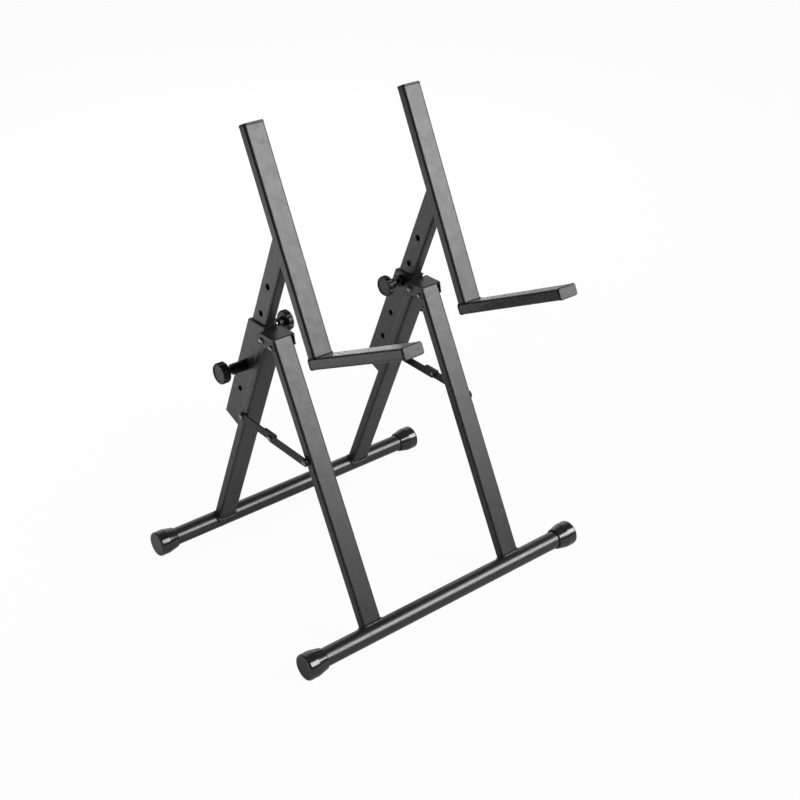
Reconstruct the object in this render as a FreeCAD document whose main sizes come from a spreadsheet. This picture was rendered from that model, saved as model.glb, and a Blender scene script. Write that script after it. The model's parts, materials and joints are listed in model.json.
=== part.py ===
"""Folding tilt-back amplifier stand: two base tubes, two A-frames and two sliding L-shaped rests."""
import FreeCAD, Part
import math
import os
import Sketcher

# Driving dimensions in millimetres and degrees
SIZES = {
    "base_tube_dia": 25.4,
    "base_tube_wall": 1.6,
    "base_length": 484.0,
    "base_spread": 360.0,
    "cap_flange_dia": 36.5,
    "cap_flange_length": 15.0,
    "cap_collar_dia": 30.0,
    "cap_collar_length": 16.0,
    "cap_edge": 2.4,
    "cap_lip_edge": 0.8,
    "cap_fit": 0.1,
    "tube_width": 30.0,
    "tube_depth": 15.0,
    "tube_wall": 1.5,
    "bore_corner": 1.6,
    "leg_spacing": 251.4,
    "rear_lean": 22.75,
    "front_leg_behind": 4.0,
    "rear_leg_ahead": 2.1,
    "weld_gap": 0.1,
    "hinge_up": 390.0,
    "hinge_behind_front_leg": 17.02,
    "hinge_headroom": 8.7,
    "rear_leg_above_hinge": 5.0,
    "bracket_sheet": 1.8,
    "lobe_shoulder": 0.5,
    "bracket_lip": 3.5,
    "bracket_side_drop": 5.0,
    "bracket_inset": 1.0,
    "hinge_clearance": 0.3,
    "running_gap": 0.08,
    "hinge_rivet_dia": 6.0,
    "hinge_head_dia": 10.0,
    "hinge_head_height": 2.4,
    "bracket_rivet_dia": 5.0,
    "bracket_head_dia": 8.5,
    "bracket_head_height": 2.0,
    "bracket_rivet_down": 9.0,
    "sleeve_sheet": 1.5,
    "sleeve_below_mast": 3.6,
    "sleeve_above_plate": 3.7,
    "guide_wall": 0.9,
    "guide_gap": 0.3,
    "guide_rim": 1.5,
    "guide_depth": 7.0,
    "lock_below_hinge": 71.4,
    "hole_pitch": 48.0,
    "hole_dia": 8.5,
    "mast_tail": 10.0,
    "mast_plug_below_hole": 1.0,
    "clamp_below_hinge": 7.0,
    "mast_above_hinge": 146.0,
    "upright_length": 296.6,
    "upright_lean": 25.6,
    "upright_weld_up": 147.5,
    "arm_length": 201.0,
    "plug_flange": 2.5,
    "plug_insert": 14.0,
    "plug_fit": 0.1,
    "plug_edge": 0.8,
    "stay_rear_up": 239.0,
    "stay_front_up": 246.0,
    "stay_front_back": 3.0,
    "stay_rear_length": 70.0,
    "stay_bar": 12.0,
    "stay_sheet": 2.0,
    "stay_rivet_dia": 5.0,
    "stay_head_dia": 9.0,
    "stay_head_height": 2.0,
    "stay_rivet_tail": 5.0,
    "stay_shoulder_dia": 9.0,
    "stop_tab_ahead": 11.0,
    "stop_tab_length": 25.0,
    "stop_tab_sheet": 2.3,
    "lock_barrel_dia": 15.0,
    "lock_barrel_length": 23.8,
    "lock_pin_dia": 7.5,
    "lock_travel": 7.7,
    "lock_stop_gap": 2.0,
    "lock_hub_dia": 9.0,
    "lock_hub_length": 17.0,
    "lock_disc_dia": 29.6,
    "lock_disc_length": 11.5,
    "lock_socket": 10.0,
    "clamp_bolt_dia": 8.0,
    "clamp_nut_dia": 16.0,
    "clamp_nut_length": 8.0,
    "clamp_bolt_bare": 7.8,
    "clamp_hub_dia": 14.0,
    "clamp_hub_length": 9.0,
    "clamp_disc_dia": 29.0,
    "clamp_disc_length": 9.0,
    "clamp_socket": 13.0,
    "knob_edge": 1.2,
    "knob_rim": 2.2,
    "knob_dish": 0.8,
    "flute_dia": 7.0,
    "flute_depth": 1.3,
}
MAST_HOLES = 6
HOLES_BELOW_LOCK = 2
KNOB_FLUTES = 8
SIDES = {"left": -1, "right": 1}

# A domed rivet head: share of the height at its bend, and shares of the radius left there and at the top
DOME_BEND = 0.6
DOME_BROW = 0.84
DOME_CROWN = 0.44

doc = FreeCAD.newDocument("amplifier_stand")
values = {}


def write_sheet(sheet_name, numbers):
    """Put plain numbers into a sheet, one aliased cell each, and remember where every value lives."""
    sheet = doc.addObject("Spreadsheet::Sheet", sheet_name)
    for row, (alias, number) in enumerate(numbers.items(), 1):
        sheet.set(f"A{row}", repr(number))
        sheet.setAlias(f"A{row}", alias)
        values[alias] = (number, f"{sheet_name}.{alias}")
    doc.recompute()


def turned(along_y, along_z, angle):
    """Turn a (y, z) pair about the X axis by an angle in degrees."""
    c = math.cos(math.radians(angle))
    s = math.sin(math.radians(angle))
    return along_y * c - along_z * s, along_y * s + along_z * c


def add_dome(places, name, seat, radius, height):
    """Add the outline of a domed rivet head that stands on a seat."""
    places[f"{name}_head"] = radius
    places[f"{name}_brow"] = seat + DOME_BEND * height
    places[f"{name}_brow_radius"] = DOME_BROW * radius
    places[f"{name}_end"] = seat + height
    places[f"{name}_crown"] = DOME_CROWN * radius


def work_out_places(d):
    """Work out every dependent size and place from the driving dimensions.

    Rear names are measured in the rear leg's axes: y backwards across the leg and z up along it, from the
    rear base tube's axis. Front names use the front leg's axes in the same way, from the front base tube's
    axis. Rest names use the upright's axes, from the foot of its rear face.
    """
    p = {}
    axis_height = d["cap_flange_dia"] / 2
    p["base_radius"] = d["base_tube_dia"] / 2
    p["base_bore_radius"] = p["base_radius"] - d["base_tube_wall"]
    p["cap_floor"] = d["cap_flange_length"] / 2
    p["base_tube_length"] = d["base_length"] - 2 * p["cap_floor"]
    p["cap_length"] = d["cap_flange_length"] + d["cap_collar_length"]
    p["cap_flange_radius"] = d["cap_flange_dia"] / 2
    p["cap_collar_radius"] = d["cap_collar_dia"] / 2
    p["cap_bore_radius"] = p["base_radius"] + d["cap_fit"]
    p["cap_rim_radius"] = p["cap_flange_radius"] - d["cap_edge"]
    p["cap_turn"] = d["cap_edge"] * (1 - math.cos(math.radians(45)))
    p["cap_turn_radius"] = p["cap_flange_radius"] - p["cap_turn"]
    p["cap_lip_radius"] = p["cap_collar_radius"] - d["cap_lip_edge"]
    p["cap_lip"] = p["cap_length"] - d["cap_lip_edge"]

    p["half_width"] = d["tube_width"] / 2
    p["half_depth"] = d["tube_depth"] / 2
    p["bore_half_width"] = p["half_width"] - d["tube_wall"]
    p["bore_half_depth"] = p["half_depth"] - d["tube_wall"]
    p["tube_corner"] = d["bore_corner"] + d["tube_wall"]
    p["bore_far"] = d["tube_depth"] - d["tube_wall"]
    p["plug_half_width"] = p["bore_half_width"] - d["plug_fit"]
    p["plug_half_depth"] = p["bore_half_depth"] - d["plug_fit"]
    p["cope_radius"] = p["base_radius"] + d["weld_gap"]

    p["rear_mid"] = -d["rear_leg_ahead"]
    p["rear_face"] = p["rear_mid"] - p["half_depth"]
    p["rear_back"] = p["rear_mid"] + p["half_depth"]
    p["rear_leg_top"] = d["hinge_up"] + d["rear_leg_above_hinge"]
    p["front_mid"] = d["front_leg_behind"]
    p["front_face"] = p["front_mid"] - p["half_depth"]
    p["front_back"] = p["front_mid"] + p["half_depth"]
    for end in ("rear", "front"):
        p[f"{end}_bore_face"] = p[f"{end}_face"] + d["tube_wall"]
        p[f"{end}_bore_back"] = p[f"{end}_back"] - d["tube_wall"]

    # Fore-and-aft places before the footprint is centred under the whole stand
    rear_y = d["base_spread"] / 2
    front_y = -d["base_spread"] / 2
    p["lock_up"] = d["hinge_up"] - d["lock_below_hinge"]
    p["clamp_up"] = d["hinge_up"] - d["clamp_below_hinge"]
    mast_reach = d["hinge_up"] + d["mast_above_hinge"]
    guide_room = d["guide_wall"] + d["guide_gap"]
    p["mast_front"] = p["rear_back"] + guide_room
    p["mast_mid"] = p["mast_front"] + p["half_width"]
    p["mast_back"] = p["mast_front"] + d["tube_width"]
    p["mast_bore_front"] = p["mast_front"] + d["tube_wall"]
    p["mast_bore_back"] = p["mast_back"] - d["tube_wall"]
    cross_y, cross_z = turned(p["mast_mid"], mast_reach, d["rear_lean"])
    foot_y, foot_z = turned(0, -d["upright_weld_up"], -d["upright_lean"])
    rest_y = rear_y + cross_y + foot_y
    rest_z = axis_height + cross_z + foot_z
    tip = d["arm_length"] + d["plug_flange"]
    low_y, _ = turned(d["plug_edge"] - tip, -d["tube_depth"], -d["upright_lean"])
    face_low_y, _ = turned(-tip, d["plug_edge"] - d["tube_depth"], -d["upright_lean"])
    foremost = rest_y + min(low_y, face_low_y)
    rearmost = rear_y + p["cap_flange_radius"]
    centring = -(foremost + rearmost) / 2
    p["axis_height"] = axis_height
    p["rear_y"] = rear_y + centring
    p["front_y"] = front_y + centring
    p["rest_y"] = rest_y + centring
    p["rest_z"] = rest_z
    p["leg_x"] = d["leg_spacing"] / 2

    # Hinge between the two legs
    hinge_y, hinge_z = turned(p["rear_mid"], d["hinge_up"], d["rear_lean"])
    p["hinge_y"] = p["rear_y"] + hinge_y
    p["hinge_z"] = axis_height + hinge_z
    plate_under = p["hinge_z"] + d["hinge_headroom"]
    plate_top = plate_under + d["bracket_sheet"]
    run = p["hinge_y"] - p["front_y"]
    rise = p["hinge_z"] - axis_height
    hinge_back = d["front_leg_behind"] + d["hinge_behind_front_leg"]
    front_lean = math.acos(hinge_back / math.hypot(run, rise)) - math.atan2(rise, run)
    p["front_lean"] = math.degrees(front_lean)
    c = math.cos(front_lean)
    s = math.sin(front_lean)
    p["front_leg_top"] = (plate_under - d["hinge_clearance"] - axis_height + p["front_face"] * s) / c
    p["plate_under"] = d["hinge_headroom"]
    p["plate_top"] = d["hinge_headroom"] + d["bracket_sheet"]
    face_up = (plate_top - axis_height + p["front_face"] * s) / c
    face_y = p["front_y"] + p["front_face"] * c + face_up * s
    p["plate_front"] = face_y - d["bracket_lip"] - p["hinge_y"]
    rc = math.cos(math.radians(d["rear_lean"]))
    rs = math.sin(math.radians(d["rear_lean"]))
    back_up = (plate_top - axis_height - p["rear_back"] * rs) / rc
    back_y = p["rear_y"] + p["rear_back"] * rc - back_up * rs
    p["plate_back"] = back_y - 2 * d["hinge_clearance"] - p["hinge_y"]
    lobe = p["plate_top"] - d["lobe_shoulder"]
    p["bracket_lobe"] = lobe
    p["lobe_high"] = math.sqrt(lobe ** 2 - p["plate_back"] ** 2)
    side_z = p["hinge_z"] - d["bracket_side_drop"]
    side_face = p["front_face"] + d["bracket_inset"]
    side_up = (side_z - axis_height + side_face * s) / c
    p["side_front"] = p["front_y"] + side_face * c + side_up * s - p["hinge_y"]
    p["side_low"] = -d["bracket_side_drop"]
    p["lobe_low"] = -lobe
    p["bracket_inner"] = p["half_width"] + d["hinge_clearance"]
    bracket_outer = p["bracket_inner"] + d["bracket_sheet"]
    p["bracket_width"] = 2 * bracket_outer
    p["hinge_hole_radius"] = d["hinge_rivet_dia"] / 2 + d["running_gap"]
    p["bracket_rivet_hole_radius"] = d["bracket_rivet_dia"] / 2 + d["running_gap"]
    p["bracket_rivet_up"] = p["front_leg_top"] - d["bracket_rivet_down"]
    by, bz = turned(p["front_mid"], p["bracket_rivet_up"], -p["front_lean"])
    p["bracket_rivet_y"] = p["front_y"] + by - p["hinge_y"]
    p["bracket_rivet_z"] = axis_height + bz - p["hinge_z"]
    p["hinge_rivet_reach"] = bracket_outer + d["hinge_clearance"]
    p["bracket_rivet_reach"] = bracket_outer
    for joint in ("hinge", "bracket"):
        rivet = f"{joint}_rivet"
        p[f"{rivet}_shank"] = d[f"{rivet}_dia"] / 2
        add_dome(p, rivet, p[f"{rivet}_reach"], d[f"{joint}_head_dia"] / 2, d[f"{joint}_head_height"])

    # Sleeve, guides and mast behind the rear leg
    for index in range(MAST_HOLES):
        p[f"mast_hole_{index}"] = p["lock_up"] + (index - HOLES_BELOW_LOCK) * d["hole_pitch"]
    p["mast_low"] = p["mast_hole_0"] - d["mast_tail"]
    p["sleeve_low"] = p["mast_low"] - d["sleeve_below_mast"]
    p["mast_plug_insert"] = d["mast_tail"] - d["hole_dia"] / 2 - d["mast_plug_below_hole"]
    p["sleeve_inner"] = p["half_depth"] + guide_room
    p["sleeve_outer"] = p["sleeve_inner"] + d["sleeve_sheet"]
    p["sleeve_inside_back"] = p["mast_back"] + guide_room
    p["sleeve_back"] = p["sleeve_inside_back"] + d["sleeve_sheet"]
    sleeve_top = plate_top + d["sleeve_above_plate"]
    p["sleeve_top_front"] = (sleeve_top - axis_height - p["rear_back"] * rs) / rc
    p["sleeve_top_back"] = (sleeve_top - axis_height - p["sleeve_back"] * rs) / rc
    p["sleeve_length"] = p["sleeve_top_front"] - p["sleeve_low"]
    p["hole_radius"] = d["hole_dia"] / 2
    p["spare_hole_up"] = p["lock_up"] - d["hole_pitch"]
    p["clamp_hole_radius"] = d["clamp_bolt_dia"] / 2 + d["running_gap"]
    p["guide_inner_side"] = p["half_depth"] + d["guide_gap"]
    p["guide_inner_front"] = p["mast_front"] - d["guide_gap"]
    p["guide_inner_back"] = p["mast_back"] + d["guide_gap"]
    p["guide_low_end"] = p["sleeve_low"] - d["guide_rim"]
    p["guide_low_length"] = d["guide_depth"] + d["guide_rim"]
    p["guide_seat"] = sleeve_top - p["hinge_z"]
    p["guide_top"] = p["guide_seat"] + d["guide_rim"]
    p["guide_root"] = p["guide_seat"] - d["guide_depth"]
    turn = d["upright_lean"] + d["rear_lean"]
    mitre_half = p["half_width"] / math.tan(math.radians(turn))
    p["mast_top_front"] = mast_reach - mitre_half
    p["mast_top_back"] = mast_reach + mitre_half
    p["mast_length"] = p["mast_top_back"] - p["mast_low"]

    # Folding stays on the outer sides
    sr_y, sr_z = turned(p["rear_mid"], d["stay_rear_up"], d["rear_lean"])
    sf_y, sf_z = turned(p["front_mid"] + d["stay_front_back"], d["stay_front_up"], -p["front_lean"])
    p["stay_rear_y"] = p["rear_y"] + sr_y
    p["stay_rear_z"] = axis_height + sr_z
    run_y = p["front_y"] + sf_y - p["stay_rear_y"]
    run_z = axis_height + sf_z - p["stay_rear_z"]
    p["stay_span"] = math.hypot(run_y, run_z)
    p["stay_tilt"] = math.degrees(math.atan2(-run_z, -run_y))
    p["stay_front_length"] = p["stay_span"] - d["stay_rear_length"]
    share = d["stay_rear_length"] / p["stay_span"]
    p["stay_mid_y"] = p["stay_rear_y"] + share * run_y
    p["stay_mid_z"] = p["stay_rear_z"] + share * run_z
    p["stay_radius"] = d["stay_bar"] / 2
    p["stay_inner_x"] = p["half_width"] + d["hinge_clearance"]
    p["stay_lap_x"] = p["stay_inner_x"] + d["stay_sheet"] + d["hinge_clearance"]
    p["stay_outer_x"] = p["stay_lap_x"] + d["stay_sheet"]
    p["stay_inner_face"] = p["stay_inner_x"] + d["stay_sheet"]
    p["stay_hole_radius"] = d["stay_rivet_dia"] / 2 + d["running_gap"]
    p["tab_under"] = p["stay_radius"] + d["hinge_clearance"]
    p["tab_top"] = p["tab_under"] + d["stop_tab_sheet"]
    p["tab_ahead"] = d["stay_rear_length"] + d["stop_tab_ahead"]
    p["tab_behind"] = p["tab_ahead"] - d["stop_tab_length"]
    p["tab_root"] = p["stay_radius"] - d["stay_sheet"]
    p["tab_reach"] = p["stay_outer_x"] + d["hinge_clearance"] - p["stay_inner_x"]
    p["stay_shank"] = d["stay_rivet_dia"] / 2
    p["stay_shoulder_radius"] = d["stay_shoulder_dia"] / 2
    p["stay_rivet_root"] = p["half_width"] - d["stay_rivet_tail"]
    p["near_seat"] = p["stay_inner_face"] + d["hinge_clearance"]
    p["lap_seat"] = p["stay_outer_x"] + d["hinge_clearance"]
    for seat in ("near_seat", "lap_seat"):
        add_dome(p, seat, p[seat], d["stay_head_dia"] / 2, d["stay_head_height"])

    # Lock and clamp across the sleeve, measured outwards from the leg's middle plane
    p["rod_tip"] = p["half_depth"] + d["guide_gap"]
    p["flute_radius"] = d["flute_dia"] / 2
    p["lock_barrel_end"] = p["sleeve_outer"] + d["lock_barrel_length"]
    p["lock_barrel_radius"] = d["lock_barrel_dia"] / 2
    p["lock_bore_radius"] = d["lock_hub_dia"] / 2 + d["guide_gap"]
    p["lock_rod_radius"] = d["lock_pin_dia"] / 2
    p["lock_disc_x"] = p["lock_barrel_end"] + d["lock_travel"] + d["lock_stop_gap"]
    p["clamp_nut_end"] = p["sleeve_outer"] + d["clamp_nut_length"]
    p["clamp_nut_radius"] = d["clamp_nut_dia"] / 2
    p["clamp_rod_radius"] = d["clamp_bolt_dia"] / 2
    p["clamp_disc_x"] = p["clamp_nut_end"] + d["clamp_bolt_bare"] + d["clamp_hub_length"]
    for part in ("lock", "clamp"):
        p[f"{part}_hub_x"] = p[f"{part}_disc_x"] - d[f"{part}_hub_length"]
        p[f"{part}_face_x"] = p[f"{part}_disc_x"] + d[f"{part}_disc_length"]
        p[f"{part}_disc_low"] = p[f"{part}_disc_x"] + d["knob_edge"]
        p[f"{part}_disc_high"] = p[f"{part}_face_x"] - d["knob_edge"]
        p[f"{part}_rod_end"] = p[f"{part}_hub_x"] + d[f"{part}_socket"]
        p[f"{part}_socket_radius"] = p[f"{part}_rod_radius"] + d["running_gap"]
        p[f"{part}_hub_radius"] = d[f"{part}_hub_dia"] / 2
        disc_radius = d[f"{part}_disc_dia"] / 2
        p[f"{part}_disc_radius"] = disc_radius
        p[f"{part}_brow_radius"] = disc_radius - d["knob_edge"]
        p[f"{part}_dish_radius"] = p[f"{part}_brow_radius"] - d["knob_rim"]
        p[f"{part}_dish_x"] = p[f"{part}_face_x"] - d["knob_dish"]
        flute_ring = disc_radius + p["flute_radius"] - d["flute_depth"]
        for index in range(KNOB_FLUTES):
            angle = math.radians((index + 0.5) * 360 / KNOB_FLUTES)
            p[f"{part}_flute_y{index}"] = flute_ring * math.cos(angle)
            p[f"{part}_flute_z{index}"] = flute_ring * math.sin(angle)
    return p


write_sheet("Sizes", SIZES)
write_sheet("Places", work_out_places(SIZES))


def number(name):
    """The value behind a name; a leading minus sign negates it and a bare 0 is zero."""
    if name == "0":
        return 0.0
    if name.startswith("-"):
        return -values[name[1:]][0]
    return values[name][0]


def cell(name):
    """The sheet expression behind a name."""
    if name.startswith("-"):
        return "-" + values[name[1:]][1]
    return values[name][1]


def new_body(label):
    body = doc.addObject("PartDesign::Body", label)
    body.Label = label
    return body


def new_sketch(body, role, shift=None):
    """An empty sketch on one of the body's own origin planes, moved along the plane's normal if asked."""
    sketch = body.newObject("Sketcher::SketchObject", f"{body.Name}_sketch")
    plane = next(feature for feature in body.Origin.OriginFeatures if feature.Role == role)
    sketch.AttachmentSupport = [(plane, "")]
    sketch.MapMode = "FlatFace"
    if shift:
        sketch.setExpression("AttachmentOffset.Base.z", cell(shift))
    return sketch


def constrain(sketch, kind, *args):
    return sketch.addConstraint(Sketcher.Constraint(kind, *args))


def measure(sketch, kind, name, *geometry):
    """A dimension that follows a named value."""
    index = constrain(sketch, kind, *geometry, number(name))
    label = f"size_{index}"
    sketch.renameConstraint(index, label)
    sketch.setExpression(f"Constraints.{label}", cell(name))


def hold(sketch, kind, name, geometry, point):
    """Hold one coordinate of a point at a named distance from the origin, or on the axis where it is zero."""
    if name == "0":
        constrain(sketch, "PointOnObject", geometry, point, -2 if kind == "DistanceX" else -1)
    else:
        measure(sketch, kind, name, -1, 1, geometry, point)


def fix_point(sketch, geometry, point, x_name, y_name):
    hold(sketch, "DistanceX", x_name, geometry, point)
    hold(sketch, "DistanceY", y_name, geometry, point)


def draw_polygon(sketch, corners):
    """A closed chain of straight lines through corners given as pairs of names."""
    spots = [FreeCAD.Vector(number(x), number(y), 0) for x, y in corners]
    lines = []
    for start, end in zip(spots, spots[1:] + spots[:1]):
        lines.append(sketch.addGeometry(Part.LineSegment(start, end), False))
    for line, following in zip(lines, lines[1:] + lines[:1]):
        constrain(sketch, "Coincident", line, 2, following, 1)
    for line, (x, y) in zip(lines, corners):
        fix_point(sketch, line, 1, x, y)


def draw_circle(sketch, x, y, radius):
    centre = FreeCAD.Vector(number(x), number(y), 0)
    circle = sketch.addGeometry(Part.Circle(centre, FreeCAD.Vector(0, 0, 1), number(radius)), False)
    fix_point(sketch, circle, 3, x, y)
    measure(sketch, "Radius", radius, circle)


def draw_arc(sketch, x, y, radius, first, last):
    """An arc about a point, from one angle to another, counter-clockwise in degrees."""
    centre = FreeCAD.Vector(x, y, 0)
    circle = Part.Circle(centre, FreeCAD.Vector(0, 0, 1), radius)
    return sketch.addGeometry(Part.ArcOfCircle(circle, math.radians(first), math.radians(last)), False)


def draw_rounded_box(sketch, left, right, low, high, corner):
    """A rectangle with equal round corners between four named sides."""
    x0, x1 = number(left), number(right)
    y0, y1 = number(low), number(high)
    r = number(corner)
    ends = [
        ((x0 + r, y0), (x1 - r, y0)),
        ((x1, y0 + r), (x1, y1 - r)),
        ((x1 - r, y1), (x0 + r, y1)),
        ((x0, y1 - r), (x0, y0 + r)),
    ]
    lines = []
    for start, end in ends:
        segment = Part.LineSegment(FreeCAD.Vector(*start, 0), FreeCAD.Vector(*end, 0))
        lines.append(sketch.addGeometry(segment, False))
    centres = [(x1 - r, y0 + r), (x1 - r, y1 - r), (x0 + r, y1 - r), (x0 + r, y0 + r)]
    arcs = []
    for turn, (x, y) in enumerate(centres):
        arcs.append(draw_arc(sketch, x, y, r, 90 * turn - 90, 90 * turn))
    for turn in range(4):
        constrain(sketch, "Tangent", lines[turn], 2, arcs[turn], 1)
        constrain(sketch, "Tangent", arcs[turn], 2, lines[(turn + 1) % 4], 1)
    for turn in range(3):
        constrain(sketch, "Equal", arcs[turn], arcs[turn + 1])
    for line, kind in zip(lines, ("Horizontal", "Vertical", "Horizontal", "Vertical")):
        constrain(sketch, kind, line)
    measure(sketch, "Radius", corner, arcs[0])
    hold(sketch, "DistanceY", low, lines[0], 1)
    hold(sketch, "DistanceX", right, lines[1], 1)
    hold(sketch, "DistanceY", high, lines[2], 1)
    hold(sketch, "DistanceX", left, lines[3], 1)


def draw_bar(sketch, length):
    """A stay bar's outline, with round ends about the origin and about a point forward of it."""
    reach = number(length)
    r = number("stay_radius")
    near = draw_arc(sketch, 0, 0, r, -90, 90)
    far = draw_arc(sketch, -reach, 0, r, 90, 270)
    top = Part.LineSegment(FreeCAD.Vector(0, r, 0), FreeCAD.Vector(-reach, r, 0))
    bottom = Part.LineSegment(FreeCAD.Vector(-reach, -r, 0), FreeCAD.Vector(0, -r, 0))
    high = sketch.addGeometry(top, False)
    low = sketch.addGeometry(bottom, False)
    constrain(sketch, "Tangent", near, 2, high, 1)
    constrain(sketch, "Tangent", high, 2, far, 1)
    constrain(sketch, "Tangent", far, 2, low, 1)
    constrain(sketch, "Tangent", low, 2, near, 1)
    constrain(sketch, "Coincident", near, 3, -1, 1)
    constrain(sketch, "PointOnObject", far, 3, -1)
    measure(sketch, "DistanceX", "-" + length, -1, 1, far, 3)
    measure(sketch, "Radius", "stay_radius", near)


def pad(body, sketch, length, symmetric=False, reverse=False):
    feature = body.newObject("PartDesign::Pad", f"{body.Name}_pad")
    feature.Profile = sketch
    feature.SideType = "Symmetric" if symmetric else "One side"
    feature.Reversed = reverse
    feature.setExpression("Length", cell(length))
    doc.recompute()
    return feature


def cut_through(body, sketch, side=0):
    """Cut a sketch right through the body: both ways, or only towards one side of the sketch."""
    before = body.Shape.Volume
    feature = body.newObject("PartDesign::Pocket", f"{body.Name}_pocket")
    feature.Profile = sketch
    feature.Type = "ThroughAll"
    feature.SideType = "One side" if side else "Symmetric"
    feature.Reversed = side > 0
    doc.recompute()
    if not body.Shape.Volume < before:
        raise RuntimeError(f"{body.Label}: a cut removed nothing")
    return feature


def turned_piece(label, profile):
    """A round piece about the X axis, from a half outline of (along, radius) names."""
    body = new_body(label)
    sketch = new_sketch(body, "XY_Plane")
    draw_polygon(sketch, profile)
    feature = body.newObject("PartDesign::Revolution", f"{body.Name}_revolution")
    feature.Profile = sketch
    feature.ReferenceAxis = (sketch, ["H_Axis"])
    feature.Angle = 360
    doc.recompute()
    return body


def facing(side, profile):
    """A half outline written for the +X side, turned over for the -X side."""
    if side > 0:
        return profile
    return [(along if along == "0" else "-" + along, radius) for along, radius in profile]


def set_in(body, x, frame, y=0.0, z=0.0, turns=()):
    """Set a sub-part at a place in one of the stand's leaning frames, turned first about its own axes."""
    origin, lean = frame
    axis_x = FreeCAD.Vector(1, 0, 0)
    whole = FreeCAD.Placement(FreeCAD.Vector(x, *origin), FreeCAD.Rotation(axis_x, lean))
    spin = FreeCAD.Rotation()
    for axis, angle in turns:
        spin = spin.multiply(FreeCAD.Rotation(axis, angle))
    body.Placement = whole.multiply(FreeCAD.Placement(FreeCAD.Vector(0, y, z), spin))


# Leaning frames: the place of each frame's origin across the stand and its lean about X
REAR = ((number("rear_y"), number("axis_height")), number("rear_lean"))
FRONT = ((number("front_y"), number("axis_height")), -number("front_lean"))
REST = ((number("rest_y"), number("rest_z")), -number("upright_lean"))
HINGE = ((number("hinge_y"), number("hinge_z")), 0.0)
STAY_REAR = ((number("stay_rear_y"), number("stay_rear_z")), number("stay_tilt"))
STAY_MID = ((number("stay_mid_y"), number("stay_mid_z")), number("stay_tilt"))


def leg_plane(side):
    return side * number("leg_x")


def base_tube(label, frame):
    body = new_body(label)
    sketch = new_sketch(body, "YZ_Plane")
    draw_circle(sketch, "0", "0", "base_radius")
    draw_circle(sketch, "0", "0", "base_bore_radius")
    pad(body, sketch, "base_tube_length", symmetric=True)
    set_in(body, 0, frame)


def foot_cap(label, side, frame):
    """A moulded cap: a round foot, a collar that tapers inwards and a socket for the tube's end."""
    profile = [
        ("0", "0"),
        ("0", "cap_rim_radius"),
        ("cap_turn", "cap_turn_radius"),
        ("cap_edge", "cap_flange_radius"),
        ("cap_flange_length", "cap_flange_radius"),
        ("cap_lip", "cap_collar_radius"),
        ("cap_length", "cap_lip_radius"),
        ("cap_length", "cap_bore_radius"),
        ("cap_floor", "cap_bore_radius"),
        ("cap_floor", "0"),
    ]
    body = turned_piece(label, facing(-side, profile))
    set_in(body, side * number("base_length") / 2, frame)


def tube_section(sketch, sides, bore_sides):
    """The hollow section of the rectangular tube that the legs, masts and rests are cut from."""
    draw_rounded_box(sketch, *sides, "tube_corner")
    draw_rounded_box(sketch, *bore_sides, "bore_corner")


def drill(body, holes):
    """Round holes along X at (y, z, radius, side), where side 0 goes through both walls."""
    for y, z, radius, side in holes:
        sketch = new_sketch(body, "YZ_Plane")
        draw_circle(sketch, y, z, radius)
        cut_through(body, sketch, side)


def leg(label, end, top, holes):
    """A leg: tube coped onto its base tube, with rivet holes through its sides."""
    body = new_body(label)
    section = new_sketch(body, "XY_Plane")
    tube_section(
        section,
        ("-half_width", "half_width", f"{end}_face", f"{end}_back"),
        ("-bore_half_width", "bore_half_width", f"{end}_bore_face", f"{end}_bore_back"),
    )
    pad(body, section, top)
    cope = new_sketch(body, "YZ_Plane")
    draw_circle(cope, "0", "0", "cope_radius")
    cut_through(body, cope)
    drill(body, holes)
    return body


def rear_leg(name, side):
    holes = [
        ("rear_mid", "hinge_up", "hinge_hole_radius", 0),
        ("rear_mid", "stay_rear_up", "stay_hole_radius", side),
    ]
    body = leg(f"{name}_rear_leg", "rear", "rear_leg_top", holes)
    set_in(body, leg_plane(side), REAR)


def front_leg(name, side):
    holes = [("front_mid", "bracket_rivet_up", "bracket_rivet_hole_radius", 0)]
    body = leg(f"{name}_front_leg", "front", "front_leg_top", holes)
    set_in(body, leg_plane(side), FRONT)


def draw_bracket_side(sketch):
    """The bracket seen from the side: a level top, a straight lower edge and a round lobe about the hinge."""
    corners = [
        ("0", "lobe_low"),
        ("side_front", "side_low"),
        ("plate_front", "plate_top"),
        ("plate_back", "plate_top"),
        ("plate_back", "lobe_high"),
    ]
    spots = [FreeCAD.Vector(number(y), number(z), 0) for y, z in corners]
    lines = []
    for first, second in zip(spots, spots[1:]):
        lines.append(sketch.addGeometry(Part.LineSegment(first, second), False))
    lobe_end = math.degrees(math.atan2(number("lobe_high"), number("plate_back")))
    arc = draw_arc(sketch, 0, 0, number("bracket_lobe"), -90, lobe_end)
    for line, following in zip(lines, lines[1:]):
        constrain(sketch, "Coincident", line, 2, following, 1)
    for line, corner in zip(lines, corners):
        fix_point(sketch, line, 1, *corner)
    hold(sketch, "DistanceX", "plate_back", lines[-1], 2)
    constrain(sketch, "Coincident", arc, 1, lines[0], 1)
    constrain(sketch, "Coincident", arc, 2, lines[-1], 2)
    constrain(sketch, "Coincident", arc, 3, -1, 1)


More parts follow.
